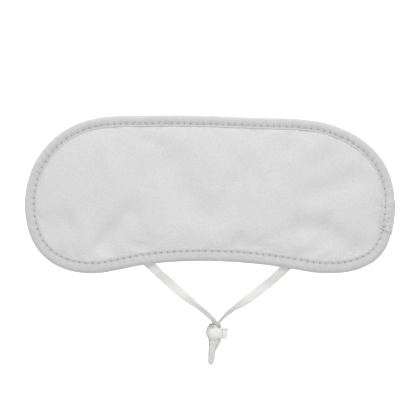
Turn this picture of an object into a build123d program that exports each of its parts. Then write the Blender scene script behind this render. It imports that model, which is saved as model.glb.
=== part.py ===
from build123d import *
import math
import os

# A sleep eye mask lying face up, with its elastic strap tied in one knot.
#
# Frame: millimetres. +X runs along the mask, +Y towards the forehead edge and +Z out of the
# front face. The origin is on the surface the mask lies on, under the middle of its outline.
# The mask is a pad of thin layers bent about an axis along Y, so its middle stands RISE above
# its two ends, and every layer is a curved sheet measured from the back face of the binding.

# ---- driving dimensions ------------------------------------------------------------------

HALF_LENGTH = 100.0
RISE = 8.0
BEND_RADIUS = (HALF_LENGTH**2 + RISE**2) / (2 * RISE)
BEND_CENTRE_Z = RISE - BEND_RADIUS

# outer edge of the mask, anticlockwise from the right end
OUTLINE = [
    (99.6, -6.0),  # right end
    (86.0, 26.5),  # right shoulder
    (62.0, 38.4),  # right brow
    (30.0, 41.0),
    (-8.0, 42.3),  # middle of the forehead edge
    (-40.0, 42.3),
    (-66.0, 39.9),  # left brow
    (-87.0, 27.5),  # left shoulder
    (-100.0, -6.0),  # left end
    (-89.0, -34.0),  # left lower corner
    (-67.0, -42.4),  # left lobe
    (-40.0, -38.6),
    (-7.0, -35.7),  # nose
    (40.0, -39.3),
    (67.0, -42.4),  # right lobe
    (90.0, -35.0),  # right lower corner
]

OUTLINE_ARCS = 28
THROUGH = 2 * RISE

# thicknesses, from the back of the mask to its front
TAPE = 0.6
LINING = 0.3
BLACKOUT = 0.3
FOAM = 2.2
FRONT = 0.3

# heights of each layer's lower face above the back of the binding
LINING_BASE = TAPE
BLACKOUT_BASE = LINING_BASE + LINING
FOAM_BASE = BLACKOUT_BASE + BLACKOUT
FRONT_BASE = FOAM_BASE + FOAM
CORE_TOP = FRONT_BASE + FRONT
MASK_TOP = CORE_TOP + TAPE

# edge binding: a tape folded over the edge, its end lapped over its start at the right end
BINDING_WIDTH = 6.6
FOLD = 0.7
LAP_PROUD = 0.4
LAP_WIDTH = 7.2
LAP_TOP_Y = -3.5
LAP_BOTTOM_Y = -21.0

# seam through the binding
SEAM_INSET = 5.1
STITCH_PITCH = 3.4
STITCH_LENGTH = 2.5
THREAD_RADIUS = 0.17
THREAD_GAP = 0.02
BACKTACK_INSET = 3.9
BACKTACK_PITCH = 2.9
BACKTACK_TOP_Y = -10.0
LAP_STEP_GAP = 0.3

# flat elastic
STRAP_WIDTH = 5.0
STRAP_THICKNESS = 0.8
STRAP_CLEARANCE = 0.3
ROOT_X = 86.5
LEFT_ROOT_Y = 10.0
RIGHT_ROOT_Y = 5.0
SEWN_LENGTH = 7.5
SEWN_MARGIN = 1.0
ARC_SHARE = 0.45

# knot and its two free ends
KNOT_CENTRE = (1.9, -73.6)
KNOT_SIZE = (8.0, 10.4, 6.4)
KNOT_ROUND = 2.4
TAIL_LENGTH = 14.5
TAIL_CENTRE = (0.6, -84.65)
STUB_SIZE = (5.6, 6.0)
STUB_CENTRE = (7.0, -74.3)
STUB_HEIGHT = 2.6


def surface_z(x, height):
    """Z of the curved sheet that lies `height` above the back of the binding."""
    return BEND_CENTRE_Z + math.sqrt((BEND_RADIUS + height) ** 2 - x**2)


SEWN_BASE = LINING_BASE - STRAP_THICKNESS

# The strap leaves the lining just inside the binding, clear of the cloth above it even at its
# outer edge. Its hinge line runs through both exits, along the lower face of the elastic.
ROOT_REACH = 0.75 * STRAP_WIDTH
ROOT_TOP_Z = surface_z(ROOT_X + ROOT_REACH, LINING_BASE) - STRAP_CLEARANCE
ROOT_Z = ROOT_TOP_Z - STRAP_THICKNESS / 2
HINGE_Z = ROOT_TOP_Z - STRAP_THICKNESS

# Middle line of each leg, from its exit to the knot. Both lie on the table for most of the way.
LEFT_ROUTE = [
    (-ROOT_X, LEFT_ROOT_Y, ROOT_Z),
    (-74.0, -1.5, 0.9),
    (-58.0, -15.5, 0.5),
    (-40.0, -31.0, 0.4),
    (-26.0, -44.0, 0.4),
    (-12.0, -56.6, 0.6),
    (-2.6, -63.4, 1.2),
    (1.6, -68.9, 2.0),
]
RIGHT_ROUTE = [
    (ROOT_X, RIGHT_ROOT_Y, ROOT_Z),
    (75.0, -6.5, 0.9),
    (60.0, -21.0, 0.5),
    (46.5, -34.5, 0.4),
    (33.0, -47.0, 0.4),
    (20.0, -56.8, 0.6),
    (10.0, -63.4, 1.9),
    (4.6, -68.9, 3.9),
]


# ---- shared shapes -----------------------------------------------------------------------


def outline_face(inset):
    """The mask's outline, moved in by `inset` (out where it is negative), as short arcs."""
    with BuildLine(mode=Mode.PRIVATE):
        edge = Spline(OUTLINE, periodic=True)
    points = []
    for index in range(2 * OUTLINE_ARCS):
        along = edge % (index / (2 * OUTLINE_ARCS))
        inward = Vector(-along.Y, along.X)
        points.append(edge @ (index / (2 * OUTLINE_ARCS)) + inset * inward)
    points.append(points[0])
    with BuildSketch() as face:
        with BuildLine():
            for first in range(0, 2 * OUTLINE_ARCS, 2):
                ThreePointArc(*points[first : first + 3])
        make_face()
    return face.sketch


def lap_band(outer_inset, inner_inset):
    """The strip of binding between two insets, along the lap only."""
    with BuildSketch() as band:
        add(outline_face(outer_inset))
        add(outline_face(inner_inset), mode=Mode.SUBTRACT)
        with Locations((HALF_LENGTH, (LAP_TOP_Y + LAP_BOTTOM_Y) / 2)):
            Rectangle(HALF_LENGTH, LAP_TOP_Y - LAP_BOTTOM_Y, mode=Mode.INTERSECT)
    return band.sketch


def curved_sheet(plan, bottom, top):
    """A flat plan shape given the mask's bend, between two heights above its back."""
    reach = HALF_LENGTH + 2 * LAP_PROUD
    with BuildPart() as sheet:
        with BuildSketch(Plane.XZ):
            with BuildLine():
                lower = ThreePointArc(*[(x, surface_z(x, bottom)) for x in (-reach, 0, reach)])
                upper = ThreePointArc(*[(x, surface_z(x, top)) for x in (-reach, 0, reach)])
                Line(lower @ 0, upper @ 0)
                Line(lower @ 1, upper @ 1)
            make_face()
        extrude(amount=HALF_LENGTH, both=True)
        with BuildSketch(Plane.XY.offset(-THROUGH)):
            add(plan)
        extrude(amount=2 * THROUGH, mode=Mode.INTERSECT)
    return sheet.part


def strap_direction(route):
    """Unit plan direction of a leg as it leaves its exit."""
    start, after = Vector(*route[0]), Vector(*route[1])
    run = after - start
    return Vector(run.X, run.Y).normalized()


def across_strap(route):
    """Unit plan direction across a leg at its exit."""
    along = strap_direction(route)
    return Vector(-along.Y, along.X)


def sewn_plan(route, margin):
    """Plan of the sewn end of the elastic behind its exit, grown by `margin`."""
    along = strap_direction(route)
    exit_point = Vector(route[0][0], route[0][1])
    half = (STRAP_WIDTH / 2 + margin) * across_strap(route)
    back = exit_point - (SEWN_LENGTH + margin) * along
    front = exit_point + STRAP_WIDTH * along
    with BuildSketch() as band:
        with BuildLine():
            Polyline(back - half, front - half, front + half, back + half, close=True)
        make_face()
    return band.sketch


def hinge_side(route, side):
    """A big block on one side of the hinge line: side is +1 for the mask, -1 for the strap."""
    left, right = Vector(*LEFT_ROUTE[0]), Vector(*RIGHT_ROUTE[0])
    line = (right - left).normalized()
    up = Vector(-line.Y, line.X)
    middle = Vector(route[0][0], route[0][1]) + side * HALF_LENGTH * up
    block = Box(6 * HALF_LENGTH, 2 * HALF_LENGTH, 2 * HALF_LENGTH, mode=Mode.PRIVATE)
    turn = math.degrees(math.atan2(line.Y, line.X))
    return Pos(middle.X, middle.Y, 0) * Rot(0, 0, turn) * block


def arc_radii(route):
    """The largest arc that each corner of a route has room for."""
    points = [Vector(*point) for point in route]
    radii = []
    for before, corner, after in zip(points, points[1:], points[2:]):
        first, second = corner - before, after - corner
        half_turn = math.radians(first.get_angle(second)) / 2
        radii.append(ARC_SHARE * min(first.length, second.length) / math.tan(half_turn))
    return radii


def leg_points(route):
    """A leg's route with its first run started early, so the hinge line can cut it to length."""
    points = [Vector(*point) for point in route]
    first_run = (points[1] - points[0]).normalized()
    return [points[0] - STRAP_WIDTH * first_run, *points[1:]]


def strap_leg(route):
    """One leg of the elastic from the hinge line to the knot; also its length."""
    with BuildPart() as leg:
        with BuildLine():
            line = FilletPolyline(*leg_points(route), radius=arc_radii(route))
        with BuildSketch(Plane(line @ 0, x_dir=across_strap(route), z_dir=line % 0)):
            Rectangle(STRAP_WIDTH, STRAP_THICKNESS)
        sweep()
        add(hinge_side(route, -1), mode=Mode.INTERSECT)
    return leg.part, line.length - STRAP_WIDTH


def sewn_end(route):
    """The end of an elastic behind the hinge line, flat against the lining."""
    with BuildPart() as end:
        add(curved_sheet(sewn_plan(route, 0), SEWN_BASE, LINING_BASE))
        add(hinge_side(route, 1), mode=Mode.INTERSECT)
    return end.part


def seam_points(inset, pitch):
    """Evenly spaced points along a seam line, each with the seam's direction there."""
    seam = outline_face(inset).face().outer_wire()
    count = round(seam.length / pitch)
    for index in range(count):
        share = index / count
        yield seam.position_at(share), seam.tangent_at(share)


def stitch_place(point, tangent, height):
    """Where one straight stitch lies, along the seam on the bent sheet at `height`."""
    slope = -point.X / math.sqrt((BEND_RADIUS + height) ** 2 - point.X**2)
    along = Vector(tangent.X, tangent.Y, slope * tangent.X)
    return Plane(origin=(point.X, point.Y, surface_z(point.X, height)), z_dir=along).location


def on_lap(point, margin):
    """Whether a seam point lies on the lap, grown by `margin` at both ends."""
    return point.X > 0 and LAP_BOTTOM_Y - margin < point.Y < LAP_TOP_Y + margin


def stitch_row(places):
    """One straight piece of thread at each place."""
    with BuildPart() as row:
        with Locations(*places):
            Cylinder(THREAD_RADIUS, STITCH_LENGTH)
    return row.part


CORE = outline_face(FOLD)

# ---- the pad: four layers of one outline, all reaching into the fold of the binding --------

with BuildPart() as back_lining:
    add(curved_sheet(CORE, LINING_BASE, BLACKOUT_BASE))
back_lining.part.label = "back_lining"

with BuildPart() as blackout_layer:
    add(curved_sheet(CORE, BLACKOUT_BASE, FOAM_BASE))
blackout_layer.part.label = "blackout_layer"

with BuildPart() as foam_pad:
    add(curved_sheet(CORE, FOAM_BASE, FRONT_BASE))
foam_pad.part.label = "foam_pad"

with BuildPart() as front_panel:
    add(curved_sheet(CORE, FRONT_BASE, CORE_TOP))
front_panel.part.label = "front_panel"

# ---- sewn ends of the elastic, flat against the lining and caught under the binding ---------

with BuildPart() as strap_end_left:
    add(sewn_end(LEFT_ROUTE))
strap_end_left.part.label = "strap_end_left"

with BuildPart() as strap_end_right:
    add(sewn_end(RIGHT_ROUTE))
strap_end_right.part.label = "strap_end_right"

# ---- edge binding: a channel round the edge, bulging over the elastic, lapped at one end ----

BULGE_BASE = SEWN_BASE - TAPE


def bulge_plan(route):
    """Where the back of the binding stands out over the sewn end of an elastic."""
    with BuildSketch() as bulge:
        add(sewn_plan(route, SEWN_MARGIN))
        add(CORE, mode=Mode.INTERSECT)
    return bulge.sketch


with BuildPart() as edge_binding:
    add(curved_sheet(outline_face(0), 0, MASK_TOP))
    for route in (LEFT_ROUTE, RIGHT_ROUTE):
        add(curved_sheet(bulge_plan(route), BULGE_BASE, LINING_BASE))
    add(curved_sheet(outline_face(BINDING_WIDTH), -THROUGH, THROUGH), mode=Mode.SUBTRACT)
    add(curved_sheet(lap_band(-LAP_PROUD, LAP_WIDTH), CORE_TOP, MASK_TOP + LAP_PROUD))
    add(curved_sheet(lap_band(-LAP_PROUD, FOLD), 0, MASK_TOP + LAP_PROUD))
    add(curved_sheet(CORE, LINING_BASE, CORE_TOP), mode=Mode.SUBTRACT)
    for route in (LEFT_ROUTE, RIGHT_ROUTE):
        add(curved_sheet(sewn_plan(route, 0), SEWN_BASE, LINING_BASE), mode=Mode.SUBTRACT)
edge_binding.part.label = "edge_binding"

# ---- thread ------------------------------------------------------------------------------

FRONT_THREAD = MASK_TOP + THREAD_GAP + THREAD_RADIUS
LAP_THREAD = FRONT_THREAD + LAP_PROUD
BACK_THREAD = -THREAD_GAP - THREAD_RADIUS
STEP_MARGIN = STITCH_LENGTH / 2 + LAP_STEP_GAP

front_places = []
for point, tangent in seam_points(SEAM_INSET, STITCH_PITCH):
    if on_lap(point, -STEP_MARGIN):
        front_places.append(stitch_place(point, tangent, LAP_THREAD))
    elif not on_lap(point, STEP_MARGIN):
        front_places.append(stitch_place(point, tangent, FRONT_THREAD))

with BuildPart() as front_stitches:
    add(stitch_row(front_places))
front_stitches.part.label = "front_stitches"

bulges = [sewn_plan(route, SEWN_MARGIN + STEP_MARGIN).face() for route in (LEFT_ROUTE, RIGHT_ROUTE)]
back_places = [
    stitch_place(point, tangent, BACK_THREAD)
    for point, tangent in seam_points(SEAM_INSET, STITCH_PITCH)
    if not any(bulge_face.is_inside(point) for bulge_face in bulges)
]

with BuildPart() as back_stitches:
    add(stitch_row(back_places))
back_stitches.part.label = "back_stitches"

backtack_places = [
    stitch_place(point, tangent, LAP_THREAD)
    for point, tangent in seam_points(BACKTACK_INSET, BACKTACK_PITCH)
    if on_lap(point, -STEP_MARGIN) and point.Y < BACKTACK_TOP_Y
]

with BuildPart() as lap_backtack:
    add(stitch_row(backtack_places))
lap_backtack.part.label = "lap_backtack"

# ---- strap: two flat elastics tied into one knot --------------------------------------------

left_leg, left_length = strap_leg(LEFT_ROUTE)
right_leg, right_length = strap_leg(RIGHT_ROUTE)

with BuildPart() as strap_left:
    add(left_leg)
strap_left.part.label = "strap_left"

with BuildPart() as strap_right:
    add(right_leg)
strap_right.part.label = "strap_right"

with BuildPart() as strap_tail_long:
    with BuildSketch():
        with Locations(TAIL_CENTRE):
            SlotOverall(TAIL_LENGTH, STRAP_WIDTH, rotation=90)
    extrude(amount=STRAP_THICKNESS)
strap_tail_long.part.label = "strap_tail_long"

with BuildPart() as strap_tail_short:
    with BuildSketch(Plane.XY.offset(STUB_HEIGHT)):
        with Locations(STUB_CENTRE):
            Rectangle(*STUB_SIZE)
    extrude(amount=STRAP_THICKNESS)
    fillet(strap_tail_short.edges().filter_by(Axis.Z).sort_by(Axis.X)[2:], STRAP_THICKNESS)
strap_tail_short.part.label = "strap_tail_short"

with BuildPart() as strap_knot:
    with Locations((*KNOT_CENTRE, KNOT_SIZE[2] / 2)):
        Box(*KNOT_SIZE)
    fillet(strap_knot.edges(), KNOT_ROUND)
    for end in (strap_left, strap_right, strap_tail_long, strap_tail_short):
        add(end.part, mode=Mode.SUBTRACT)
strap_knot.part.label = "strap_knot"

print("hinge line height", round(HINGE_Z, 3), "mm")
for side, route, length in (("left", LEFT_ROUTE, left_length), ("right", RIGHT_ROUTE, right_length)):
    print(side, "leg", round(length, 1), "mm, radii", [round(radius, 1) for radius in arc_radii(route)])

# ---- files ---------------------------------------------------------------------------------

os.makedirs("parts", exist_ok=True)
for piece in (
    back_lining,
    blackout_layer,
    foam_pad,
    front_panel,
    edge_binding,
    front_stitches,
    back_stitches,
    lap_backtack,
    strap_end_left,
    strap_end_right,
    strap_left,
    strap_right,
    strap_knot,
    strap_tail_long,
    strap_tail_short,
):
    export_step(piece.part, f"parts/{piece.part.label}.step")
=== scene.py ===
"""The sleep eye mask: padded cloth, bound edge, stitching and tied elastic, round the CAD frame."""
import math
import random

import bpy
import numpy as np
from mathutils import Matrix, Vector, noise


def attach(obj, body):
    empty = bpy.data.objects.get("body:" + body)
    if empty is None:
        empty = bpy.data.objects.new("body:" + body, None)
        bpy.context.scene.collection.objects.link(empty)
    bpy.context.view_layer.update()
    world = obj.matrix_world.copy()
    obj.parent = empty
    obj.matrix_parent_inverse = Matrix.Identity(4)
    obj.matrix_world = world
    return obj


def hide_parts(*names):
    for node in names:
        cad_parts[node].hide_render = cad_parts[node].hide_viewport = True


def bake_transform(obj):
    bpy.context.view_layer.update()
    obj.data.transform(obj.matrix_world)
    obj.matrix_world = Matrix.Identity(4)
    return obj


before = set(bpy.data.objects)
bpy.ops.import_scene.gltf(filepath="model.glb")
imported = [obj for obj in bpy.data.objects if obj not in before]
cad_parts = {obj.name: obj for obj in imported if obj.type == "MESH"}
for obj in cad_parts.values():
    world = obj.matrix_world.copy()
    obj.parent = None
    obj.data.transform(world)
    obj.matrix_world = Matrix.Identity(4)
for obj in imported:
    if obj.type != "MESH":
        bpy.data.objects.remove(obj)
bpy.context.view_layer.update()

MM = 0.001

# ---- sizes, in metres (angles in radians) --------------------------------------------------

# the pad's bend: its middle stands RISE above its two ends
HALF_LENGTH = 100 * MM
RISE = 8 * MM
BEND_RADIUS = (HALF_LENGTH**2 + RISE**2) / (2 * RISE)

# edge binding and its lap at the right end; the tape shows more at the bottom than at the top
FOLD = 0.7 * MM
BINDING_HEIGHT = 4.3 * MM
BREADTH_SWING = 0.07
LAP_TOP_Y = -3.5 * MM
LAP_BOTTOM_Y = -21.6 * MM
LAP_SLANT = 0.32
LAP_PROUD = 0.5 * MM
LAP_EXTRA_WIDTH = 0.8 * MM

# seam
SEAM_INSET = 5.1 * MM
STITCH_PITCH = 3.4 * MM
THREAD_RADIUS = 0.17 * MM
NEEDLE_HOLE = 0.42 * MM
BACKTACK_INSET = 4.6 * MM
BACKTACK_SLANT = 0.2
BACKTACK_PITCH = 2.3 * MM
BACKTACK_LENGTH = 8.5 * MM
TACK_START = 1.2 * MM

# elastic
STRAP_WIDTH = 5.0 * MM
STRAP_THICKNESS = 0.8 * MM
LEG_BEND = 0.05
LEG_STEP = 0.45 * MM
FREE_STEP = 0.25 * MM
TAIL_FOLD = 0.42

# middle line of each leg, from its exit to the knot
LEFT_ROUTE = [
    (-0.0865, 0.0100, 0.0014),
    (-0.0740, -0.0015, 0.0009),
    (-0.0580, -0.0155, 0.0005),
    (-0.0400, -0.0310, 0.0004),
    (-0.0260, -0.0440, 0.0004),
    (-0.0118, -0.0564, 0.0011),
    (-0.0022, -0.0637, 0.0022),
    (0.0031, -0.0690, 0.0030),
]
RIGHT_ROUTE = [
    (0.0865, 0.0050, 0.0014),
    (0.0750, -0.0065, 0.0009),
    (0.0600, -0.0210, 0.0005),
    (0.0465, -0.0345, 0.0004),
    (0.0330, -0.0470, 0.0004),
    (0.0200, -0.0568, 0.0010),
    (0.0100, -0.0634, 0.0025),
    (0.0049, -0.0685, 0.0039),
]
# the last of each elastic, inside the knot
LEFT_INTO_KNOT = [(0.0040, -0.0712, 0.0032), (0.0042, -0.0745, 0.0032)]
RIGHT_INTO_KNOT = [(0.0042, -0.0708, 0.0040), (0.0036, -0.0745, 0.0038)]
SEWN_LENGTH = 7.0 * MM
# the elastic's turn round the knot: a small fold at its top right, behind, over the front and
# out as the stub
WRAP_ROUTE = [
    (0.0044, -0.0709, 0.0050),
    (0.0062, -0.0711, 0.0034),
    (0.0048, -0.0722, 0.0010),
    (0.0014, -0.0729, 0.0008),
    (-0.0012, -0.0733, 0.0010),
    (-0.0019, -0.0738, 0.0028),
    (-0.0019, -0.0743, 0.0052),
    (0.0010, -0.0746, 0.0063),
    (0.0040, -0.0748, 0.0062),
    (0.0063, -0.0750, 0.0048),
    (0.0066, -0.0750, 0.0032),
    (0.0078, -0.0750, 0.0031),
    (0.0095, -0.0749, 0.0030),
]
TAIL_ROUTE = [
    (0.0028, -0.0735, 0.0040),
    (0.0024, -0.0772, 0.0050),
    (0.0020, -0.0797, 0.0042),
    (0.0014, -0.0824, 0.0028),
    (0.0009, -0.0850, 0.0016),
    (0.0009, -0.0885, 0.0010),
    (0.0001, -0.0920, 0.0008),
]

# view
VIEW_CENTRE = (-1.05 * MM, -7.3 * MM)
VIEW_WIDTH = 224.3 * MM
VIEW_HEIGHT = 3 * MM
LENS = 135.0
SENSOR = 36.0

# light: the floor's glow, the even surround, and (name, place, watts, size) of each soft box
FLOOR_GLOW = 0.66
AMBIENT = 0.36
SOFTBOXES = [
    ("overhead", (0.00, 0.14, 1.25), 8.5, 0.50),
    ("low_key", (0.04, 0.90, 0.74), 4.8, 0.35),
]
FLOOR_HALF = 3.0
FLOOR_DROP = 0.2 * MM

# looks
# painted shade at the needle holes (with the dark of the layers seen through them) and beside the seam
HOLE_SHADE = 0.62
TACK_SHADE = 0.7 * HOLE_SHADE
PULL_SHADE = 0.05
ELASTIC_GLOW = 0.10
WARM_WHITE = (1.0, 1.004, 0.972)
FOAM_TINT = (1.0, 0.98, 0.93)

random.seed(7)


# ---- the bent sheet and the outline, from the frame ------------------------------------------


def surface_z(x, height):
    """Z of the bent sheet that lies `height` above the back of the binding."""
    return RISE - BEND_RADIUS + np.sqrt((BEND_RADIUS + height) ** 2 - np.square(x))


def plan_outline(node, count):
    """The outer edge of a CAD node seen from above, as `count` points by direction."""
    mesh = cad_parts[node].data
    plan = np.array([vertex.co[:2] for vertex in mesh.vertices])
    ends = np.array([edge.vertices[:] for edge in mesh.edges])
    first, second = plan[ends[:, 0]], plan[ends[:, 1]]
    points = []
    for angle in np.linspace(0, 2 * math.pi, count, endpoint=False):
        ray = np.array([math.cos(angle), math.sin(angle)])
        side_first = first[:, 0] * ray[1] - first[:, 1] * ray[0]
        side_second = second[:, 0] * ray[1] - second[:, 1] * ray[0]
        crossing = (side_first > 0) != (side_second > 0)
        share = side_first[crossing] / (side_first[crossing] - side_second[crossing])
        hits = first[crossing] + share[:, None] * (second[crossing] - first[crossing])
        reach = hits @ ray
        points.append(ray * reach.max())
    return np.array(points)


def even_closed(points, count):
    """A closed line resampled at even steps."""
    closed = np.vstack([points, points[:1]])
    along = np.concatenate([[0], np.cumsum(np.linalg.norm(np.diff(closed, axis=0), axis=1))])
    steps = np.linspace(0, along[-1], count, endpoint=False)
    return np.column_stack([np.interp(steps, along, closed[:, k]) for k in (0, 1)])


def smooth_closed(points, reach):
    """A closed line with each point averaged over its `reach` neighbours on both sides."""
    total = sum(np.roll(points, shift, axis=0) for shift in range(-reach, reach + 1))
    return total / (2 * reach + 1)


class Rim:
    """The mask's outer edge, as a function of distance along it and distance in from it."""

    SAMPLES = 1600
    DIRECTIONS = 1440
    EDGE_SMOOTHING = 5
    INWARD_SMOOTHING = 6

    def __init__(self):
        core = even_closed(plan_outline("foam_pad", self.DIRECTIONS), self.SAMPLES)
        core = smooth_closed(core, self.EDGE_SMOOTHING)
        tangents = np.roll(core, -1, axis=0) - np.roll(core, 1, axis=0)
        tangents /= np.linalg.norm(tangents, axis=1)[:, None]
        inward = np.column_stack([-tangents[:, 1], tangents[:, 0]])
        self.inward = smooth_closed(inward, self.INWARD_SMOOTHING)
        self.inward /= np.linalg.norm(self.inward, axis=1)[:, None]
        self.edge = core - FOLD * self.inward
        seam = self.edge + SEAM_INSET * (1 + BREADTH_SWING * self.inward[:, 1:]) * self.inward
        steps = np.linalg.norm(np.roll(seam, -1, axis=0) - seam, axis=1)
        self.length = steps.sum()
        self.along = np.concatenate([[0], np.cumsum(steps)])

    def at(self, along, inset):
        """Plan points at distances along the seam and insets from the edge (arrays)."""
        along = np.mod(np.asarray(along, float), self.length)
        edge = np.vstack([self.edge, self.edge[:1]])
        inward = np.vstack([self.inward, self.inward[:1]])
        x, y, nx, ny = (
            np.interp(along, self.along, values)
            for values in (edge[:, 0], edge[:, 1], inward[:, 0], inward[:, 1])
        )
        inset = inset * (1 + BREADTH_SWING * ny)
        return x + nx * inset, y + ny * inset

    def along_at(self, y_wanted):
        """Distance along the seam where the right end of the mask passes a given y."""
        right = (self.edge[:, 0] > 0.8 * HALF_LENGTH).nonzero()[0]
        index = right[np.abs(self.edge[right, 1] - y_wanted).argmin()]
        return self.along[index]


rim = Rim()


# ---- small helpers -----------------------------------------------------------------------


def smoothstep(low, high, value):
    share = np.clip((np.asarray(value, float) - low) / (high - low), 0, 1)
    return share * share * (3 - 2 * share)


def wavy(x, y, scale, seed):
    """Smooth noise, about -1 to 1, with lumps of size `scale`."""
    return noise.noise(Vector((x / scale, y / scale, seed)))


def add_map(mesh, name, values, period=None):
    """A UV map from one (u, v) per vertex; period closes a loop whose u runs from 0 to period."""
    index = np.empty(len(mesh.loops), dtype=int)
    mesh.loops.foreach_get("vertex_index", index)
    corners = np.asarray(values, dtype=float)[index]
    if period is not None:
        u = corners[:, 0].reshape(-1, 4)
        u[u < u.max(axis=1, keepdims=True) - period / 2] += period
    mesh.uv_layers.new(name=name).data.foreach_set("uv", corners.ravel())


def make_object(name, vertices, faces, uvs=None):
    """A smooth mesh object; uvs is one (u, v) per vertex."""
    mesh = bpy.data.meshes.new(name)
    mesh.from_pydata([tuple(map(float, vertex)) for vertex in vertices], [], faces)
    if uvs is not None:
        add_map(mesh, "cloth", uvs)
    mesh.polygons.foreach_set("use_smooth", [True] * len(mesh.polygons))
    mesh.validate()
    mesh.update()
    piece = bpy.data.objects.new(name, mesh)
    bpy.context.scene.collection.objects.link(piece)
    return piece


def strip_faces(rows, columns, closed_rows, closed_columns):
    """Quads of a grid of rows x columns vertices."""
    faces = []
    for i in range(rows if closed_rows else rows - 1):
        for j in range(columns if closed_columns else columns - 1):
            i2, j2 = (i + 1) % rows, (j + 1) % columns
            faces.append((i * columns + j, i2 * columns + j, i2 * columns + j2, i * columns + j2))
    return faces


# ---- seam: where the needle went through ------------------------------------------------------

STITCHES = round(rim.length / STITCH_PITCH)
PITCH_SCATTER = 0.05
HOLES = np.array([
    (k + random.uniform(-PITCH_SCATTER, PITCH_SCATTER)) * rim.length / STITCHES
    for k in range(STITCHES)
])
CUT_STEP = 0.16 * MM
LAP_FADE = 0.9 * MM
LAP_LOW = rim.along_at(LAP_BOTTOM_Y)
LAP_HIGH = rim.along_at(LAP_TOP_Y)


def hole_phase(along):
    """How many stitches along a place is, whole at each needle hole."""
    knots = np.concatenate([[HOLES[-1] - rim.length], HOLES, [HOLES[0] + rim.length]])
    return np.interp(np.mod(along, rim.length), knots, np.arange(-1, STITCHES + 1))


def lap_share(along, inset):
    """1 where the end of the tape lies over its start, 0 elsewhere; sharp at the cut end."""
    cut = LAP_LOW + LAP_SLANT * inset
    rise = smoothstep(cut, cut + CUT_STEP, along)
    fall = 1 - smoothstep(LAP_HIGH - LAP_FADE, LAP_HIGH + LAP_FADE, along)
    return rise * fall


# ---- materials ---------------------------------------------------------------------------


class Cloth:
    """A node material under construction: colour, roughness and bump from procedural nodes."""

    def __init__(self, name, roughness, sheen):
        self.material = bpy.data.materials.new(name)
        self.material.use_nodes = True
        self.nodes = self.material.node_tree.nodes
        self.links = self.material.node_tree.links
        self.shader = self.nodes["Principled BSDF"]
        self.shader.inputs["Roughness"].default_value = roughness
        self.shader.inputs["Sheen Weight"].default_value = sheen
        self.shader.inputs["Sheen Roughness"].default_value = 0.5
        self.shader.inputs["Specular IOR Level"].default_value = 0.25
        self.coordinates = self.nodes.new("ShaderNodeTexCoord")
        self.normal = None

    def math(self, operation, first, second=None):
        """A maths node on numbers or sockets."""
        node = self.nodes.new("ShaderNodeMath")
        node.operation = operation
        for socket, value in zip(node.inputs, (first, second)):
            if value is None:
                continue
            if isinstance(value, (int, float)):
                socket.default_value = value
            else:
                self.links.new(value, socket)
        return node.outputs[0]

    def axis(self, which):
        """One coordinate of the first UV map, in metres."""
        node = self.nodes.new("ShaderNodeSeparateXYZ")
        self.links.new(self.coordinates.outputs["UV"], node.inputs[0])
        return node.outputs[which]

    def wave(self, value, pitch):
        """A sine of a coordinate, 0 to 1, one cycle each pitch metres."""
        turned = self.math("MULTIPLY", value, 2 * math.pi / pitch)
        return self.half(self.math("SINE", turned))

    def half(self, value):
        """-1 to 1 brought to 0 to 1."""
        return self.math("ADD", self.math("MULTIPLY", value, 0.5), 0.5)

    def mix(self, *parts):
        """The weighted sum of (value, weight) pairs."""
        total = 0.0
        for value, weight in parts:
            total = self.math("ADD", self.math("MULTIPLY", value, weight), total)
        return total

    def second_map(self, name):
        """The two values of a mesh's second UV map, 0 where it has none."""
        node = self.nodes.new("ShaderNodeUVMap")
        node.uv_map = name
        split = self.nodes.new("ShaderNodeSeparateXYZ")
        self.links.new(node.outputs[0], split.inputs[0])
        return split.outputs[0], split.outputs[1]

    def spots(self, along, across, length, width):
        """1 at each whole number of `along`, where `across` is 0, fading to 0 over an oval."""
        nearest = self.math("SUBTRACT", self.math("FRACT", self.math("ADD", along, 0.5)), 0.5)
        x = self.math("POWER", self.math("ABSOLUTE", self.math("DIVIDE", nearest, length)), 2)
        y = self.math("POWER", self.math("ABSOLUTE", self.math("DIVIDE", across, width)), 2)
        return self.math("MAXIMUM", self.math("SUBTRACT", 1, self.math("ADD", x, y)), 0)

    def shade(self, factor):
        """Multiply the colour so far by a factor."""
        link = self.shader.inputs["Base Color"].links[0]
        node = self.nodes.new("ShaderNodeVectorMath")
        node.operation = "SCALE"
        self.links.new(link.from_socket, node.inputs[0])
        self.links.new(factor, node.inputs["Scale"])
        self.links.new(node.outputs[0], self.shader.inputs["Base Color"])

    def noise(self, size, detail):
        """Fractal noise with lumps of a size in metres."""
        node = self.nodes.new("ShaderNodeTexNoise")
        node.inputs["Scale"].default_value = 1 / size
        node.inputs["Detail"].default_value = detail
        self.links.new(self.coordinates.outputs["Object"], node.inputs["Vector"])
        return node.outputs["Fac"]

    def colour(self, factor, dark, light, low, high):
        """From dark where the factor is low to light where it is high."""
        node = self.nodes.new("ShaderNodeValToRGB")
        node.color_ramp.elements[0].position = low
        node.color_ramp.elements[0].color = (*dark, 1)
        node.color_ramp.elements[1].position = high
        node.color_ramp.elements[1].color = (*light, 1)
        self.links.new(factor, node.inputs[0])
        self.links.new(node.outputs[0], self.shader.inputs["Base Color"])

    def bump(self, height, depth):
        """Relief of `depth` metres, on top of any already there."""
        node = self.nodes.new("ShaderNodeBump")
        node.inputs["Distance"].default_value = depth
        node.inputs["Strength"].default_value = 1.0
        self.links.new(height, node.inputs["Height"])
        if self.normal is not None:
            self.links.new(self.normal, node.inputs["Normal"])
        self.normal = node.outputs[0]
        self.links.new(self.normal, self.shader.inputs["Normal"])

    def roughness(self, factor, low, high):
        node = self.nodes.new("ShaderNodeMapRange")
        node.inputs["To Min"].default_value = low
        node.inputs["To Max"].default_value = high
        self.links.new(factor, node.inputs["Value"])
        self.links.new(node.outputs[0], self.shader.inputs["Roughness"])


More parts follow.
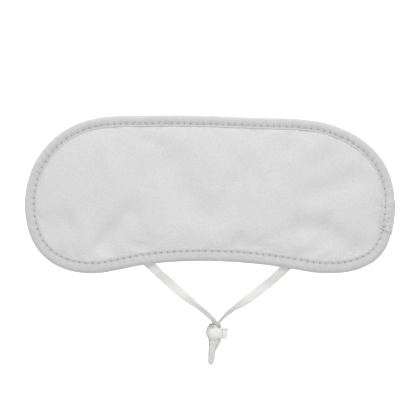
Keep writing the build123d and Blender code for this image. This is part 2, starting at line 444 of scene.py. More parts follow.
def woven_cloth(name, dark, light, thread, roughness=0.85, sheen=0.15, depth=0.05 * MM):
    """Plain weave: threads over and under each other, with slubs and slight unevenness."""
    cloth = Cloth(name, roughness, sheen)
    warp = cloth.wave(cloth.axis(0), thread)
    weft = cloth.wave(cloth.axis(1), thread)
    both_up = cloth.math("MULTIPLY", warp, weft)
    warp_down, weft_down = cloth.math("SUBTRACT", 1, warp), cloth.math("SUBTRACT", 1, weft)
    both_down = cloth.math("MULTIPLY", warp_down, weft_down)
    weave = cloth.math("ADD", both_up, both_down)
    slub = cloth.noise(1.8 * thread, 4)
    melange = cloth.noise(3.2 * thread, 4)
    uneven = cloth.noise(14 * MM, 3)
    blend = cloth.mix((weave, 0.2), (slub, 0.6), (melange, 0.1), (uneven, 0.1))
    cloth.colour(blend, dark, light, 0.3, 0.65)
    cloth.roughness(slub, roughness - 0.08, min(1.0, roughness + 0.08))
    cloth.bump(melange, depth)
    cloth.bump(slub, 1.4 * depth)
    cloth.bump(weave, depth)
    return cloth.material


def ribbed_tape(name, dark, light):
    """Grosgrain-like tape: fine ribs across it, a woven surface, and a dark spot at each needle
    hole of the seam and of the backtack: painted shade of the hole together with the dark layers
    seen through it, and a softer painted shade beside the seam where the tape is pulled in."""
    cloth = Cloth(name, 0.85, 0.12)
    ribs = cloth.wave(cloth.axis(0), 0.75 * MM)
    threads = cloth.wave(cloth.axis(1), 0.4 * MM)
    grain = cloth.noise(0.8 * MM, 4)
    smudge = cloth.noise(2.4 * MM, 3)
    uneven = cloth.noise(11 * MM, 3)
    blend = cloth.mix((ribs, 0.16), (grain, 0.34), (smudge, 0.3), (uneven, 0.2))
    cloth.colour(blend, dark, light, 0.3, 0.7)
    along, inset = cloth.second_map("seam")
    off_seam = cloth.math("SUBTRACT", inset, SEAM_INSET)
    holes = cloth.spots(along, off_seam, 0.17, 0.46 * MM)
    pull = cloth.spots(along, cloth.math("ADD", off_seam, 1.0 * MM), 0.42, 1.6 * MM)
    tack_along = cloth.math("SUBTRACT", along, float(hole_phase(LAP_LOW + TACK_START)))
    rising = cloth.math("MULTIPLY", tack_along, BACKTACK_SLANT * STITCH_PITCH)
    tack_across = cloth.math("ADD", cloth.math("SUBTRACT", inset, BACKTACK_INSET), rising)
    tack_count = cloth.math("MULTIPLY", tack_along, STITCH_PITCH / BACKTACK_PITCH)
    tack = cloth.spots(tack_count, tack_across, 0.25, 0.45 * MM)
    above = cloth.math("GREATER_THAN", tack_along, -0.2)
    below = cloth.math("LESS_THAN", tack_along, BACKTACK_LENGTH / STITCH_PITCH)
    tack = cloth.math("MULTIPLY", tack, cloth.math("MULTIPLY", above, below))
    # painted shade at the needle holes, beside the seam where the tape is pulled in, and at the
    # backtack's holes
    marks = cloth.mix((holes, -HOLE_SHADE), (pull, -PULL_SHADE), (tack, -TACK_SHADE))
    cloth.shade(cloth.math("ADD", marks, 1))
    cloth.roughness(grain, 0.78, 0.92)
    cloth.bump(grain, 0.06 * MM)
    cloth.bump(cloth.math("MULTIPLY", ribs, cloth.mix((threads, 0.4), (grain, 0.6))), 0.07 * MM)
    return cloth.material


def braided_elastic(name, dark, light):
    """Flat braided elastic: a chevron of yarns on each lengthwise rib, slightly translucent, and
    darkened with painted shade in its folds, hollows and twisted parts."""
    cloth = Cloth(name, 0.7, 0.2)
    along, across = cloth.axis(0), cloth.axis(1)
    slanted = cloth.math("ABSOLUTE", cloth.math("SUBTRACT", cloth.wave(across, 1.25 * MM), 0.5))
    yarns = cloth.wave(cloth.math("ADD", along, cloth.math("MULTIPLY", slanted, 0.9 * MM)), 0.55 * MM)
    fuzz = cloth.noise(0.5 * MM, 4)
    worn = cloth.noise(3 * MM, 3)
    cloth.colour(cloth.mix((yarns, 0.3), (fuzz, 0.4), (worn, 0.3)), dark, light, 0.25, 0.75)
    # painted shade: the colour is darkened by the map that each ribbon's section gives
    painted_shade = cloth.second_map("creases")[0]
    cloth.shade(cloth.math("SUBTRACT", 1, painted_shade))
    cloth.shader.inputs["Subsurface Weight"].default_value = ELASTIC_GLOW
    cloth.shader.inputs["Subsurface Radius"].default_value = (1, 1, 1)
    cloth.shader.inputs["Subsurface Scale"].default_value = 1 * MM
    cloth.roughness(fuzz, 0.62, 0.82)
    cloth.bump(fuzz, 0.05 * MM)
    cloth.bump(yarns, 0.09 * MM)
    return cloth.material


def sewing_thread(name, dark, light):
    """Twisted polyester thread."""
    cloth = Cloth(name, 0.55, 0.1)
    twist = cloth.wave(cloth.math("ADD", cloth.axis(0), cloth.axis(1)), 0.5 * MM)
    fuzz = cloth.noise(0.3 * MM, 2)
    cloth.colour(cloth.mix((twist, 0.5), (fuzz, 0.5)), dark, light, 0.2, 0.8)
    cloth.roughness(fuzz, 0.45, 0.65)
    cloth.bump(twist, 0.06 * MM)
    return cloth.material


def open_foam(name, dark, light):
    """Fine polyurethane foam."""
    cloth = Cloth(name, 0.95, 0.0)
    cells = cloth.nodes.new("ShaderNodeTexVoronoi")
    cells.inputs["Scale"].default_value = 1 / (0.6 * MM)
    cloth.links.new(cloth.coordinates.outputs["Object"], cells.inputs["Vector"])
    cloth.colour(cells.outputs["Distance"], dark, light, 0.1, 0.6)
    cloth.bump(cells.outputs["Distance"], 0.1 * MM)
    return cloth.material


def grey(value, tint=(1.0, 1.0, 1.0)):
    return tuple(value * share for share in tint)


FACE_CLOTH = woven_cloth("face_cloth", grey(0.585), grey(0.705), 0.42 * MM)
LINING_CLOTH = woven_cloth("lining_cloth", grey(0.55), grey(0.70), 0.36 * MM)
BLACKOUT_CLOTH = woven_cloth("blackout_cloth", grey(0.012), grey(0.03), 0.3 * MM, 0.75, 0.0)
BINDING_TAPE = ribbed_tape("binding_tape", grey(0.50), grey(0.635))
WHITE_ELASTIC = braided_elastic("white_elastic", grey(0.80, WARM_WHITE), grey(0.93, WARM_WHITE))
THREAD = sewing_thread("sewing_thread", grey(0.52), grey(0.70))
FOAM = open_foam("foam", grey(0.55, FOAM_TINT), grey(0.72, FOAM_TINT))


def finish_piece(piece, material, body, nodes):
    piece.data.materials.clear()
    piece.data.materials.append(material)
    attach(piece, body)
    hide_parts(*nodes)
    return piece


# ---- camera, floor and light ---------------------------------------------------------------


def build_camera():
    data = bpy.data.cameras.new("camera")
    data.lens = LENS
    data.sensor_width = SENSOR
    data.clip_start = 0.01
    data.clip_end = 20
    camera = bpy.data.objects.new("camera", data)
    camera.location = (*VIEW_CENTRE, VIEW_HEIGHT + VIEW_WIDTH * LENS / SENSOR)
    bpy.context.scene.collection.objects.link(camera)
    bpy.context.scene.camera = camera


def build_floor():
    """A white table that glows a little itself, so that shadows on it stay faint."""
    corners = [(x * FLOOR_HALF, y * FLOOR_HALF, 0) for x, y in ((-1, -1), (1, -1), (1, 1), (-1, 1))]
    floor = make_object("floor", corners, [(0, 1, 2, 3)])
    floor.location.z = -FLOOR_DROP
    material = bpy.data.materials.new("white_table")
    material.use_nodes = True
    shader = material.node_tree.nodes["Principled BSDF"]
    shader.inputs["Base Color"].default_value = (0.92, 0.92, 0.92, 1)
    shader.inputs["Roughness"].default_value = 0.9
    shader.inputs["Emission Color"].default_value = (1, 1, 1, 1)
    shader.inputs["Emission Strength"].default_value = FLOOR_GLOW
    floor.data.materials.append(material)


def build_lights():
    world = bpy.data.worlds.new("studio")
    world.use_nodes = True
    world.node_tree.nodes["Background"].inputs["Color"].default_value = (1, 1, 1, 1)
    world.node_tree.nodes["Background"].inputs["Strength"].default_value = AMBIENT
    bpy.context.scene.world = world
    for name, place, power, size in SOFTBOXES:
        data = bpy.data.lights.new(name, "AREA")
        data.shape = "SQUARE"
        data.size = size
        data.energy = power
        light = bpy.data.objects.new(name, data)
        light.location = place
        light.rotation_euler = (-Vector(place)).to_track_quat("-Z", "Y").to_euler()
        bpy.context.scene.collection.objects.link(light)
    bpy.context.scene.view_settings.view_transform = "Standard"


build_camera()
build_floor()
build_lights()


# ---- elastic ribbons -----------------------------------------------------------------------


RIBBON_POINTS = 17
RIBS = 4
RIB_DEPTH = 0.04 * MM
BACK_SHIFT = 20 * MM


def nurbs_line(name, route):
    """Points along the smooth curve that a route controls."""
    curve = bpy.data.curves.new(name, "CURVE")
    curve.dimensions = "3D"
    curve.resolution_u = 12
    spline = curve.splines.new("NURBS")
    spline.points.add(len(route) - 1)
    for point, place in zip(spline.points, route):
        point.co = (*place, 1)
    spline.order_u = 3
    spline.use_endpoint_u = True
    holder = bpy.data.objects.new(name, curve)
    bpy.context.scene.collection.objects.link(holder)
    bpy.context.view_layer.update()
    mesh = bpy.data.meshes.new_from_object(holder.evaluated_get(bpy.context.evaluated_depsgraph_get()))
    points = [vertex.co.copy() for vertex in mesh.vertices]
    bpy.data.objects.remove(holder)
    bpy.data.meshes.remove(mesh)
    return points


def even_line(points, step):
    """An open line resampled at even steps; returns points and distances along it."""
    places = np.array([tuple(point) for point in points])
    along = np.concatenate([[0], np.cumsum(np.linalg.norm(np.diff(places, axis=0), axis=1))])
    count = max(8, int(round(along[-1] / step)))
    steps = np.linspace(0, along[-1], count + 1)
    return np.column_stack([np.interp(steps, along, places[:, k]) for k in range(3)]), steps


def ribbon(name, line, steps, width, roll, section, up=Vector((0, 0, 1)), slant=0.0):
    """A flat elastic along a line. width and roll are functions of the share of its length; roll
    turns it about its line. section(share, v) places the point v of its width, -1 to 1, sideways
    and up, in half widths, and says how much painted shade it gets there. slant makes the far end
    longer at one edge."""
    half_thick = STRAP_THICKNESS / 2
    rows, uvs, creases = [], [], []
    total = steps[-1]
    for place, way, step in zip(line, np.gradient(line, axis=0), steps):
        share = step / total
        way = Vector(way).normalized()
        side = way.cross(up).normalized()
        lift = side.cross(way)
        turn = roll(share)
        side, lift = (
            math.cos(turn) * side + math.sin(turn) * lift,
            math.cos(turn) * lift - math.sin(turn) * side,
        )
        half = width(share) / 2
        stretch = slant * half * float(smoothstep(0.8, 1.0, share))
        row, row_uv = [], []
        for face in (1, -1):
            for j in range(RIBBON_POINTS):
                v = face * (2 * j / (RIBBON_POINTS - 1) - 1)
                crown = (1 - abs(v) ** 6) ** 0.5 if abs(v) < 1 else 0.0
                rib = RIB_DEPTH * math.cos(math.pi * RIBS * v)
                out = face * (half_thick * (0.25 + 0.75 * crown) + rib * crown)
                sideways, rise, painted_shade = section(share, v)
                offset = half * (sideways * side + rise * lift) + out * lift + stretch * v * way
                row.append(Vector(place) + offset)
                row_uv.append((step, v * half + (BACK_SHIFT if face < 0 else 0)))
                creases.append((painted_shade, 0))
        rows.append(row)
        uvs.append(row_uv)
    columns = 2 * RIBBON_POINTS
    vertices = [point for row in rows for point in row]
    uv = [pair for row in uvs for pair in row]
    faces = [tuple(reversed(face)) for face in strip_faces(len(rows), columns, False, True)]
    for first in (0, (len(rows) - 1) * columns):
        for j in range(RIBBON_POINTS - 1):
            low = (first + j, first + j + 1, first + columns - 2 - j, first + columns - 1 - j)
            faces.append(low if first == 0 else tuple(reversed(low)))
    piece = make_object(name, vertices, faces, uv)
    # a second map that carries the painted shade of each point
    add_map(piece.data, "creases", creases)
    return piece


def blend_values(pairs):
    """A smooth function of share through (share, value) pairs."""
    def value_at(share):
        for (a, va), (b, vb) in zip(pairs, pairs[1:]):
            if share <= b:
                return va + (vb - va) * float(smoothstep(a, b, share))
        return pairs[-1][1]

    return value_at


def leg_section(shade_from, twist_shade):
    """Bent down slightly towards both edges, with painted shade where it twists towards the knot."""

    def section(share, v):
        return v, -LEG_BEND * v * v, twist_shade * float(smoothstep(shade_from, 0.97, share))

    return section


def build_leg(name, route, into_knot, nodes, width_pairs, roll_pairs, section):
    """One leg of the strap with its sewn end, in one piece across the hinge line."""
    exit_point = Vector(route[0])
    away = exit_point - Vector(route[1])
    away.z = 0
    away.normalize()
    sewn_end = exit_point + SEWN_LENGTH * away
    under_flange = exit_point + 0.55 * SEWN_LENGTH * away
    sewn_end.z = float(surface_z(sewn_end.x, 0.2 * MM))
    under_flange.z = float(surface_z(under_flange.x, 0.1 * MM))
    control = [tuple(sewn_end), tuple(under_flange)] + route + into_knot
    path = nurbs_line(name + "_line", control)
    line, steps = even_line(path, LEG_STEP)
    widths, rolls = blend_values(width_pairs), blend_values(roll_pairs)
    piece = ribbon(name, line, steps, widths, rolls, section)
    piece.data.materials.append(WHITE_ELASTIC)
    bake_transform(piece)
    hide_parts(*nodes)
    return piece, [tuple(point) for point in line], steps[-1], tuple(sewn_end)


left_leg, left_path, left_length, left_exit = build_leg(
    "left_elastic", LEFT_ROUTE, LEFT_INTO_KNOT, ("strap_end_left", "strap_left"),
    [(0, STRAP_WIDTH), (0.8, STRAP_WIDTH), (0.87, 4.8 * MM), (0.95, 3.9 * MM), (1, 3.2 * MM)],
    [(0, 0.0), (0.3, -0.1), (0.62, 0.1), (0.76, 0.05), (0.86, -0.85), (0.95, -0.8), (1, -0.8)],
    leg_section(0.78, 0.12),
)
right_leg, right_path, right_length, right_exit = build_leg(
    "right_elastic", RIGHT_ROUTE, RIGHT_INTO_KNOT, ("strap_end_right", "strap_right"),
    [(0, STRAP_WIDTH), (0.7, STRAP_WIDTH), (0.78, 5.3 * MM), (0.88, 4.9 * MM), (0.95, 3.4 * MM),
     (1, 3.0 * MM)],
    [(0, 0.0), (0.4, 0.1), (0.7, -0.08), (0.78, 0.1), (0.88, 0.95), (0.945, 1.15), (1, 1.1)],
    leg_section(0.80, 0.22),
)


def bump(value, middle, half_width):
    """1 at the middle, falling to 0 on both sides."""
    return math.exp(-(((value - middle) / half_width) ** 2))


def knot_section(share, v):
    """Edges drawn in towards the knot, most at the left fold, with small folds gathered there; a
    hollow at the top left, and the stub's top edge turned up. Painted shade on the left side, along
    the lower edge, in the hollow, on the turned-up edge and where the stub starts."""
    gather = float(smoothstep(0.25, 0.42, share) * (1 - smoothstep(0.55, 0.75, share)))
    stub = float(smoothstep(0.80, 0.86, share))
    bend = 0.30 + 0.30 * gather - 0.12 * stub
    ripple = 0.05 * math.cos(7.5 * v + 1.2)
    pinch = 0.07 * bump(v, -0.45, 0.2)
    hollow = bump(v, -0.74, 0.16) * bump(share, 0.64, 0.06)
    turned = max(0.0, -v - 0.55) * stub
    lift = -bend * abs(v) ** 2.4 - gather * (ripple + pinch) - 0.25 * hollow + 0.5 * turned
    left_shade = 0.40 * (1 - float(smoothstep(0.49, 0.66, share)))
    lower_edge_shade = 0.16 * float(smoothstep(0.65, 0.95, v)) * (1 - stub)
    root_shade = 0.25 * bump(share, 0.865, 0.015)
    # the third value is painted shade, at most 0.6
    return v, lift, min(0.6, left_shade + lower_edge_shade + 0.55 * hollow + 0.8 * turned + root_shade)


def tail_section(share, v):
    """The left edge folded under and a thin fold by the right edge, both running out by halfway, with
    painted shade on both folds.
    """
    folded = 1 - float(smoothstep(0.55, 0.8, share))
    over = max(0.0, v - TAIL_FOLD)
    sideways = v - 0.25 * over * folded
    groove = bump(v, -0.66, 0.10) * folded
    drop = 0.25 * v * v + 0.75 * over * folded + 0.13 * groove
    # painted shade on the folded edge and in the groove, fading out with the fold; the lower half is a
    # little darker throughout
    painted_shade = (0.42 * float(smoothstep(0, 0.22, over)) + 0.30 * groove) * folded + 0.15 * (1 - folded)
    return sideways, -drop, painted_shade


def build_free_ribbon(name, route, nodes, width_pairs, roll, section, up, slant=0.0):
    """A loose end of the elastic, riding on the strap."""
    line, steps = even_line(nurbs_line(name + "_line", route), FREE_STEP)
    piece = ribbon(name, line, steps, blend_values(width_pairs), lambda share: roll, section, up, slant)
    return finish_piece(piece, WHITE_ELASTIC, "strap", nodes)


knot = build_free_ribbon(
    "knot", WRAP_ROUTE, ("strap_knot", "strap_tail_short"),
    [(0, 2.2 * MM), (0.10, 3.0 * MM), (0.25, 7.0 * MM), (0.42, 7.0 * MM), (0.55, 8.2 * MM),
     (0.68, 8.6 * MM), (0.80, 6.0 * MM), (0.97, 5.8 * MM), (1, 5.0 * MM)],
    -math.pi / 2, knot_section, Vector((0, 1, 0)), -0.25,
)
tail = build_free_ribbon(
    "long_tail", TAIL_ROUTE, ("strap_tail_long",),
    [(0, 5.0 * MM), (0.22, 7.9 * MM), (0.30, 7.7 * MM), (0.46, 5.9 * MM), (0.62, 4.2 * MM),
     (0.92, 3.7 * MM), (1, 1.7 * MM)],
    0.0, tail_section, Vector((0, 0, 1)),
)


# ---- pad: front panel, foam, blackout layer and lining ----------------------------------------

GRID_U = 150
GRID_V = 66
OVAL_SHAPE = 0.42
PANEL_INSET = 1.3 * MM
PANEL_RIM_HEIGHT = 3.30 * MM
PANEL_CROWN = 1.60 * MM
CROWN_REACH = 9 * MM
LOOSE_REACH = 5 * MM
CLOTH_SCALE = 10
CLOTH_QUALITY = 6
CLOTH_MASS = 0.15
CLOTH_EASE = 0.004
CLOTH_FRAMES = 20
CLOTH_CAP = 0.7 * MM
SEWN_MARGIN = 0.6 * MM
PAD_PRESSURE = 0.1
FRONT_THICKNESS = 0.22 * MM
FOAM_BELOW_FRONT = 0.3 * MM
FOAM_BACK = 1.45 * MM
LINING_BACK = 1.0 * MM
LINING_DIP = 0.25 * MM
# soft folds of the front cloth, listed: start, end, half width and depth in millimetres
FOLDS = [
    ((-36, -3), (-65, -36), 5.5, 2.3),  # left eye, down to the corner
    ((-94, -21), (-72, -13), 8.0, 1.7),  # left end
    ((-26, 29), (-1, -20), 9.5, 2.1),  # down the middle
    ((-42, 32), (-23, 26), 4.5, 1.1),  # below the forehead edge
    ((42, -17), (69, -20), 6.5, 2.1),  # right eye, towards the corner
    ((64, -21), (83, -35), 6.5, 2.2),
    ((46, -3), (88, 12), 7.0, 1.4),  # above it
    ((52, 12), (74, 26), 6.0, 0.9),
    ((12, -25), (28, -32), 6.0, 1.3),  # beside the nose
    ((43, 36), (42, 20), 3.5, 1.0),
]


def grid_plan(inset):
    """A grid that fills the outline: x, y and inset from the mask's edge, each GRID_U x GRID_V."""
    rim_x, rim_y = rim.at(np.linspace(0, rim.length, rim.SAMPLES, endpoint=False), inset)
    order = np.argsort(np.arctan2(rim_y, rim_x))
    rim_angle = np.arctan2(rim_y, rim_x)[order]
    rim_reach = np.hypot(rim_x, rim_y)[order]
    u, v = np.meshgrid(np.linspace(-1, 1, GRID_U), np.linspace(-1, 1, GRID_V), indexing="ij")
    disc_x = u * np.sqrt(1 - v**2 / 2) * HALF_LENGTH
    disc_y = v * np.sqrt(1 - u**2 / 2) * OVAL_SHAPE * HALF_LENGTH
    angle = np.arctan2(disc_y, disc_x)
    oval = 1 / np.hypot(np.cos(angle) / HALF_LENGTH, np.sin(angle) / (OVAL_SHAPE * HALF_LENGTH))
    reach = np.interp(angle, rim_angle, rim_reach, period=2 * math.pi)
    x, y = disc_x * reach / oval, disc_y * reach / oval
    depth = np.array([
        np.sqrt(((rim.edge - point) ** 2).sum(axis=1).min())
        for point in np.column_stack([x.ravel(), y.ravel()])
    ])
    return x, y, depth.reshape(x.shape)


def fold_depth(x, y, start, end, half_width, depth):
    """How deep one valley is at each place, in millimetres; it runs out at both ends."""
    start, end = Vector(start) * MM, Vector(end) * MM
    run = end - start
    share = ((x - start.x) * run.x + (y - start.y) * run.y) / run.length_squared
    nearest = np.clip(share, 0, 1)
    off = np.hypot(x - start.x - nearest * run.x, y - start.y - nearest * run.y)
    runs_out = smoothstep(-0.1, 0.25, share) * (1 - smoothstep(0.75, 1.1, share))
    return depth * runs_out * np.exp(-((off / (half_width * MM)) ** 2))


def away_from_seam(depth, reach):
    """0 out to the seam, growing to 1 inside it."""
    return 1 - np.exp(-np.maximum(depth - SEAM_INSET, 0) / reach)


def panel_height(x, y, depth):
    """How high the front cloth stands over the back of the binding, before it settles."""
    height = PANEL_RIM_HEIGHT + PANEL_CROWN * away_from_seam(depth, CROWN_REACH)
    lumps = np.array([
        0.16 * wavy(px, py, 34 * MM, 1.3)
        + 0.07 * wavy(px, py, 13 * MM, 4.1)
        + 0.03 * wavy(px, py, 5 * MM, 7.7)
        for px, py in zip(x.ravel(), y.ravel())
    ]).reshape(x.shape)
    return height + away_from_seam(depth, LOOSE_REACH) * lumps * MM


def press_folds(x, y, height, depth):
    """The folds of FOLDS pressed into the settled cloth; they are not a result of its simulation."""
    loose = away_from_seam(depth, LOOSE_REACH)
    return height - loose * MM * sum(fold_depth(x, y, *fold) for fold in FOLDS)


def relax_cloth(x, y, height, depth):
    """Let the front cloth settle: sewn down at the seam, cut slightly large, and pushed up by a
    pressure that stands for the pad. It is simulated CLOTH_SCALE times as large, which suits the
    solver, and its movement is compressed to stay under CLOTH_CAP."""
    rows, columns = x.shape
    flat = np.column_stack([x.ravel(), y.ravel(), height.ravel()]) * CLOTH_SCALE
    sheet = make_object("cloth_trial", flat, strip_faces(rows, columns, False, False))
    sewn = sheet.vertex_groups.new(name="sewn")
    held = (depth.ravel() < SEAM_INSET + SEWN_MARGIN).nonzero()[0]
    sewn.add([int(k) for k in held], 1.0, "REPLACE")
    modifier = sheet.modifiers.new("cloth", "CLOTH")
    settings = modifier.settings
    settings.quality = CLOTH_QUALITY
    settings.mass = CLOTH_MASS
    settings.vertex_group_mass = "sewn"
    settings.shrink_min = -CLOTH_EASE
    settings.use_pressure = True
    settings.uniform_pressure_force = PAD_PRESSURE
    settings.effector_weights.gravity = 0
    modifier.point_cache.frame_end = CLOTH_FRAMES
    scene = bpy.context.scene
    for number in range(1, CLOTH_FRAMES + 1):
        scene.frame_set(number)
    settled = sheet.evaluated_get(bpy.context.evaluated_depsgraph_get())
    moved = np.array([vertex.co.z for vertex in settled.data.vertices]) / CLOTH_SCALE
    moved -= height.ravel()
    scene.frame_set(1)
    bpy.data.objects.remove(sheet)
    moved = CLOTH_CAP * np.tanh(moved / CLOTH_CAP)
    return height + moved.reshape(height.shape)


def slab(name, x, y, top, bottom):
    """A closed thin piece between two height fields on the bent sheet."""
    rows, columns = x.shape
    upper = np.stack([x, y, surface_z(x, top)], axis=-1).reshape(-1, 3)
    lower = np.stack([x, y, surface_z(x, bottom)], axis=-1).reshape(-1, 3)
    count = rows * columns
    faces = strip_faces(rows, columns, False, False)
    rim_loop = (
        [i * columns for i in range(rows)]
        + [(rows - 1) * columns + j for j in range(1, columns)]
        + [i * columns + columns - 1 for i in range(rows - 2, -1, -1)]
        + [j for j in range(columns - 2, 0, -1)]
    )
    under = [tuple(count + k for k in reversed(face)) for face in faces]
    sides = [
        (a, count + a, count + b, b)
        for a, b in zip(rim_loop, rim_loop[1:] + rim_loop[:1])
    ]
    uv = np.vstack([upper[:, :2], lower[:, :2]])
    return make_object(name, np.vstack([upper, lower]), faces + under + sides, uv)


GRID_X, GRID_Y, GRID_DEPTH = grid_plan(PANEL_INSET)
FRONT = panel_height(GRID_X, GRID_Y, GRID_DEPTH)
FRONT = relax_cloth(GRID_X, GRID_Y, FRONT, GRID_DEPTH)
FRONT = press_folds(GRID_X, GRID_Y, FRONT, GRID_DEPTH)
LINING_SLACK = np.array([
    0.10 * wavy(px, py, 26 * MM, 11.2) + 0.04 * wavy(px, py, 9 * MM, 3.9)
    for px, py in zip(GRID_X.ravel(), GRID_Y.ravel())
]).reshape(GRID_X.shape) * MM
LINING_LOOSE = smoothstep(5 * MM, 14 * MM, GRID_DEPTH)
LINING = LINING_BACK - (LINING_DIP - LINING_SLACK) * LINING_LOOSE

front_panel = slab("front_cloth", GRID_X, GRID_Y, FRONT, FRONT - FRONT_THICKNESS)
foam = slab("foam", GRID_X, GRID_Y, FRONT - FOAM_BELOW_FRONT, np.full_like(FRONT, FOAM_BACK))
blackout = slab("blackout_cloth", GRID_X, GRID_Y, LINING + 0.38 * MM, LINING + 0.24 * MM)
lining = slab("lining_cloth", GRID_X, GRID_Y, LINING + 0.18 * MM, LINING)
finish_piece(front_panel, FACE_CLOTH, "mask", ("front_panel",))
finish_piece(foam, FOAM, "mask", ("foam_pad",))
finish_piece(blackout, BLACKOUT_CLOTH, "mask", ("blackout_layer",))
finish_piece(lining, LINING_CLOTH, "mask", ("back_lining",))


# ---- edge binding ------------------------------------------------------------------------

# half of the folded tape's section, as (inset, height) in millimetres: its outside from the
# front inner edge to the middle of the fold, and its inside back again
OUTSIDE = [
    (6.60, 3.52), (6.63, 3.70), (6.52, 3.84), (6.20, 3.92), (5.85, 3.90), (5.55, 3.83), (5.35, 3.77),
    (5.22, 3.74), (5.10, 3.73), (4.98, 3.74), (4.85, 3.78), (4.65, 3.86), (4.35, 3.98), (3.80, 4.14),
    (3.10, 4.26), (2.40, 4.29), (1.70, 4.20), (1.10, 3.98), (0.60, 3.58), (0.25, 3.02), (0.05, 2.50),
]
INSIDE = [
    (0.72, 2.60), (0.95, 3.02), (1.50, 3.26), (3.00, 3.34), (4.20, 3.34), (5.10, 3.30), (5.80, 3.34),
    (6.35, 3.42),
]


# relief of the sewn tape
HOLE_DEPTH = 0.26 * MM
PULL_DEPTH = 0.10 * MM
PUCKER_DEPTH = 0.08 * MM
SCALLOP_DEPTH = 0.05 * MM
SCALLOP_REACH = 0.08 * MM
WANDER_INSET = 0.12 * MM
WANDER_HEIGHT = 0.07 * MM


def full_section():
    """The whole closed section: outside front to back, then inside back to front; also how many
    of its points are outside."""
    tall = BINDING_HEIGHT / MM
    mirror = [(inset, tall - height) for inset, height in reversed(OUTSIDE)]
    inside_back = [(inset, tall - height) for inset, height in reversed(INSIDE)]
    outside = OUTSIDE + [(0.0, tall / 2)] + mirror
    return np.array(outside + inside_back + INSIDE) * MM, len(outside)


def binding_surface(along, inset, height, outside):
    """Puckers, needle holes, the lap and its cut end; arrays in and out."""
    phase = hole_phase(along)
    nearest = np.abs(phase - np.round(phase)) * STITCH_PITCH
    front = smoothstep(1.2 * MM, 3.0 * MM, height)
    off_hole = np.hypot(nearest, inset - SEAM_INSET)
    hole = HOLE_DEPTH * np.exp(-((off_hole / NEEDLE_HOLE) ** 2))
    off_seam = (inset - SEAM_INSET) / (1.1 * MM)
    pulled = PULL_DEPTH * np.exp(-((nearest / (0.9 * MM)) ** 2) - off_seam**2)
    ridge = smoothstep(1.2 * MM, 3.0 * MM, inset) * (1 - smoothstep(4.4 * MM, 5.0 * MM, inset))
    pucker = PUCKER_DEPTH * ridge * np.cos(2 * math.pi * phase)
    lip = smoothstep(5.3 * MM, 6.1 * MM, inset)
    scallop = SCALLOP_DEPTH * lip * np.cos(2 * math.pi * phase + 0.5)
    sign = np.where(front > 0.5, 1.0, -1.0)
    relief = np.where(outside, sign * (scallop - hole - pulled - pucker), 0.0)
    lap = lap_share(along, inset)
    height = height + relief + LAP_PROUD * lap * front
    outward = LAP_PROUD * lap * (1 - smoothstep(0.0, 1.2 * MM, inset))
    inset = inset - outward + LAP_EXTRA_WIDTH * lap * front * lip
    inset = inset + SCALLOP_REACH * lip * np.cos(2 * math.pi * phase + 2.0)
    return inset, height, 1 - front


def sewn_bulge(x, y):
    """How much the back of the binding stands out over the sewn ends of the elastic."""
    total = np.zeros_like(x)
    for route, end in ((LEFT_ROUTE, left_exit), (RIGHT_ROUTE, right_exit)):
        start = np.array(route[0][:2])
        run = np.array(end[:2]) - start
        share = np.clip(((x - start[0]) * run[0] + (y - start[1]) * run[1]) / (run @ run), 0, 1)
        off = np.hypot(x - start[0] - share * run[0], y - start[1] - share * run[1])
        total += 1 - smoothstep(2.4 * MM, 4.2 * MM, off)
    return total


def binding_stations():
    """Distances along the seam: close together at each needle hole and at the lap's cut end."""
    near = np.array([-0.9, -0.5, -0.25, 0.0, 0.25, 0.5, 0.9]) * MM
    stations = [hole + step for hole in HOLES for step in near]
    stations += [hole + STITCH_PITCH / 2 for hole in HOLES]
    stations += list(np.arange(LAP_LOW - 0.2 * MM, LAP_LOW + 2.8 * MM, 0.1 * MM))
    return np.array(sorted(set(np.round(np.mod(stations, rim.length), 5))))


def build_binding():
    stations = binding_stations()
    section, outer = full_section()
    count = len(section)
    along = np.repeat(stations, count)
    inset = np.tile(section[:, 0], len(stations))
    height = np.tile(section[:, 1], len(stations))
    outside = np.tile(np.arange(count) < outer, len(stations))
    seam_map = np.column_stack([hole_phase(along), np.where(outside, inset, 0.0)])
    inset, height, back = binding_surface(along, inset, height, outside)
    wander = np.array([
        (
            noise.noise(Vector((along_seam / (7 * MM), 0.3, 2.0))),
            noise.noise(Vector((along_seam / (11 * MM), 5.3, 9.0))),
        )
        for along_seam in stations
    ])
    inset += np.repeat(wander[:, 0], count) * WANDER_INSET
    height += np.repeat(wander[:, 1], count) * WANDER_HEIGHT
    x, y = rim.at(along, inset)
    bulge = sewn_bulge(x, y) * back * smoothstep(0.8 * MM, 2.2 * MM, inset)
    height -= STRAP_THICKNESS * bulge
    steps = np.linalg.norm(np.diff(np.vstack([section, section[:1]]), axis=0), axis=1)
    round_tape = np.concatenate([[0], np.cumsum(steps)])[:count]
    uv = np.column_stack([along, np.tile(round_tape, len(stations))])
    vertices = np.column_stack([x, y, surface_z(x, height)])
    faces = strip_faces(len(stations), count, True, True)
    piece = make_object("binding", vertices, faces)
    add_map(piece.data, "cloth", uv, rim.length)
    add_map(piece.data, "seam", seam_map, STITCHES)
    return piece


finish_piece(build_binding(), BINDING_TAPE, "mask", ("edge_binding",))


# ---- thread ------------------------------------------------------------------------------

SIDES = 8
RINGS = 9
# the tape's height at the seam, and how much higher its ridge stands, where the backtack ends
SEAM_LEVEL = 3.75 * MM
TACK_RISE = 0.42 * MM
RIDGE_INSET = 3.8 * MM
SEAM_TO_RIDGE = 1.0 * MM
THREAD_SINK = 0.45 * MM


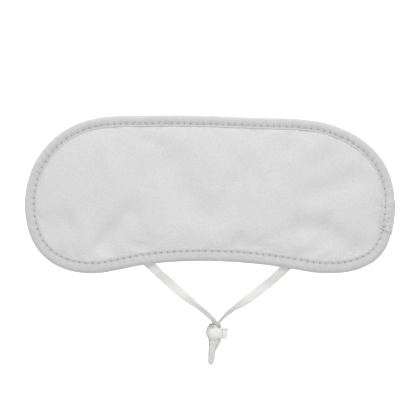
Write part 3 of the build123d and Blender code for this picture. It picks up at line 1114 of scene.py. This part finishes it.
def stitch_tube(start, end, side, vertices, faces, uvs):
    """One stitch from needle hole to needle hole. start and end are (along, inset); side is 1 on
    the front and -1 on the back."""
    (along_a, inset_a), (along_b, inset_b) = start, end
    share = np.linspace(0, 1, RINGS)
    along = along_a + (along_b - along_a) * share
    inset = inset_a + (inset_b - inset_a) * share
    off_ridge = np.clip(inset - RIDGE_INSET, 0, SEAM_TO_RIDGE)
    level = SEAM_LEVEL + TACK_RISE * (1 - off_ridge / SEAM_TO_RIDGE)
    sink = THREAD_SINK * np.abs(2 * share - 1) ** 5
    height = level + 0.6 * THREAD_RADIUS - sink + LAP_PROUD * lap_share(along, inset) * (side > 0)
    if side < 0:
        height = BINDING_HEIGHT - height
    x, y = rim.at(along, inset)
    if side < 0:
        height = height - STRAP_THICKNESS * sewn_bulge(x, y)
    centre = np.column_stack([x, y, surface_z(x, height)])
    way = np.gradient(centre, axis=0)
    way /= np.linalg.norm(way, axis=1)[:, None]
    across = np.cross(way, [0, 0, 1.0])
    across /= np.linalg.norm(across, axis=1)[:, None]
    lift = np.cross(across, way)
    first = len(vertices)
    for ring in range(RINGS):
        radius = THREAD_RADIUS * (0.55 if ring in (0, RINGS - 1) else 1.0)
        for k in range(SIDES):
            turn = 2 * math.pi * k / SIDES
            offset = math.cos(turn) * across[ring] + math.sin(turn) * lift[ring]
            vertices.append(centre[ring] + radius * offset)
            uvs.append((share[ring] * STITCH_PITCH + along_a, turn * THREAD_RADIUS))
    for face in strip_faces(RINGS, SIDES, False, True):
        faces.append(tuple(first + k for k in reversed(face)))
    faces.append(tuple(first + k for k in range(SIDES)))
    faces.append(tuple(first + (RINGS - 1) * SIDES + k for k in reversed(range(SIDES))))


def build_row(name, runs, side, node):
    vertices, faces, uvs = [], [], []
    for start, end in runs:
        stitch_tube(start, end, side, vertices, faces, uvs)
    piece = make_object(name, vertices, faces, uvs)
    return finish_piece(piece, THREAD, "mask", (node,))


GAP = 0.16 * MM
SEAM_SKEW = 0.06
main_row = []
for k in range(STITCHES):
    begin = HOLES[k]
    stop = HOLES[(k + 1) % STITCHES] + (rim.length if k == STITCHES - 1 else 0)
    skew = random.uniform(-SEAM_SKEW, SEAM_SKEW) * MM
    main_row.append(((begin + GAP, SEAM_INSET + skew), (stop - GAP, SEAM_INSET - skew)))
build_row("front_thread", main_row, 1, "front_stitches")
build_row("back_thread", main_row, -1, "back_stitches")

tack_row = []
for k in range(int(BACKTACK_LENGTH / BACKTACK_PITCH)):
    tack_row.append(tuple(
        (LAP_LOW + TACK_START + step, BACKTACK_INSET - BACKTACK_SLANT * step)
        for step in (k * BACKTACK_PITCH + GAP, (k + 1) * BACKTACK_PITCH - GAP)
    ))
build_row("backtack_thread", tack_row, 1, "lap_backtack")
